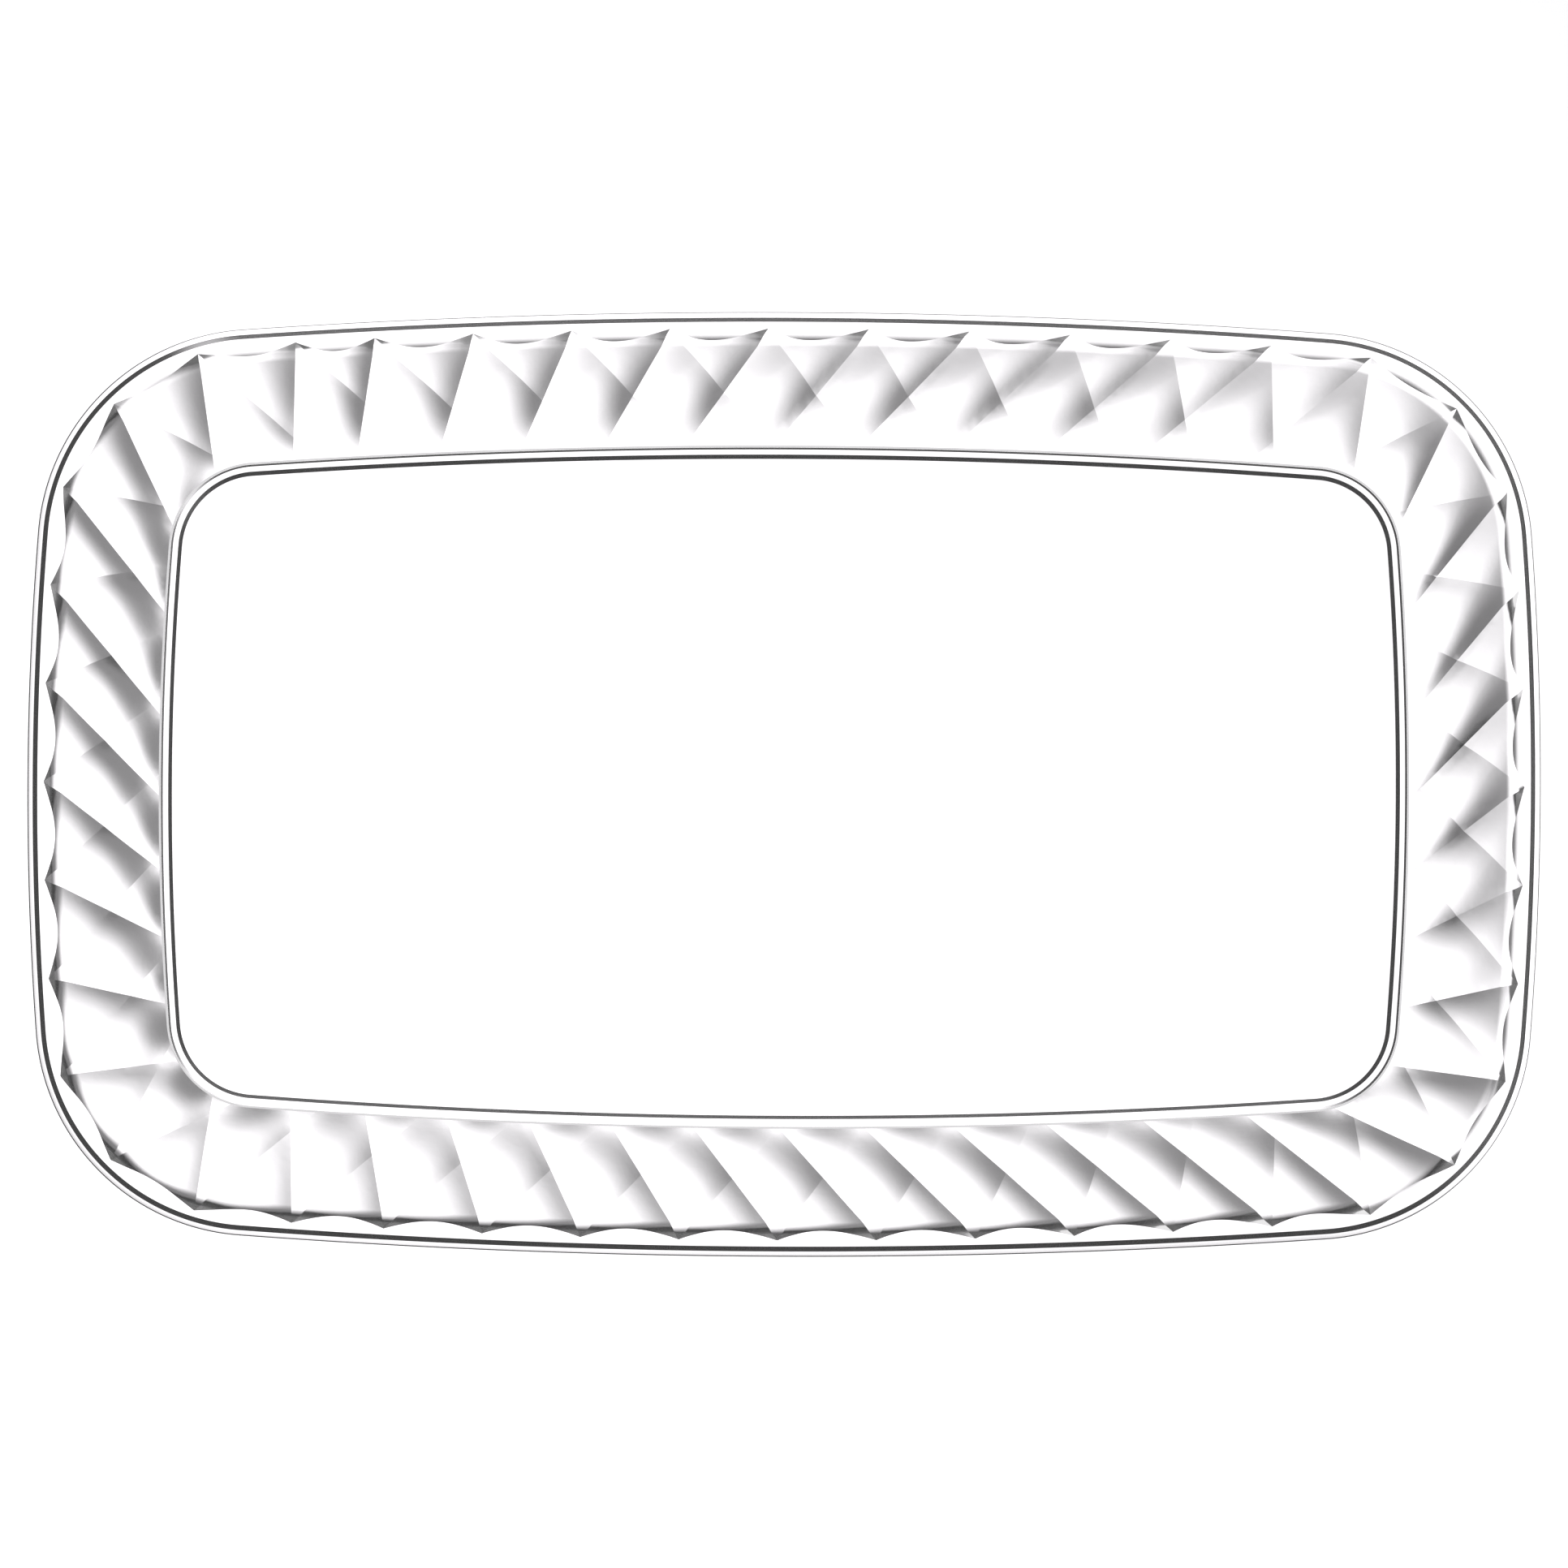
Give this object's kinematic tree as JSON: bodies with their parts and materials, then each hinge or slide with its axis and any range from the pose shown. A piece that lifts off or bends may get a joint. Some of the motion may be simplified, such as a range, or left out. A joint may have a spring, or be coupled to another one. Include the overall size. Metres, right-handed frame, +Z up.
{
  "type": "serving platter",
  "caption": "Clear moulded plastic serving platter, rounded rectangle, flat well and a wide sloping rim cut in diamonds from below.",
  "frame": {"origin": "middle of the flat underside, on the surface that the platter rests on", "axes": "+X along the length, +Y across the width, +Z up out of the well"},
  "size_m": [0.4064, 0.254, 0.022],
  "materials": {
    "clear_plastic": "polished"
  },
  "bodies": {
    "root": {"platter": "clear_plastic"}
  },
  "joints": []
}
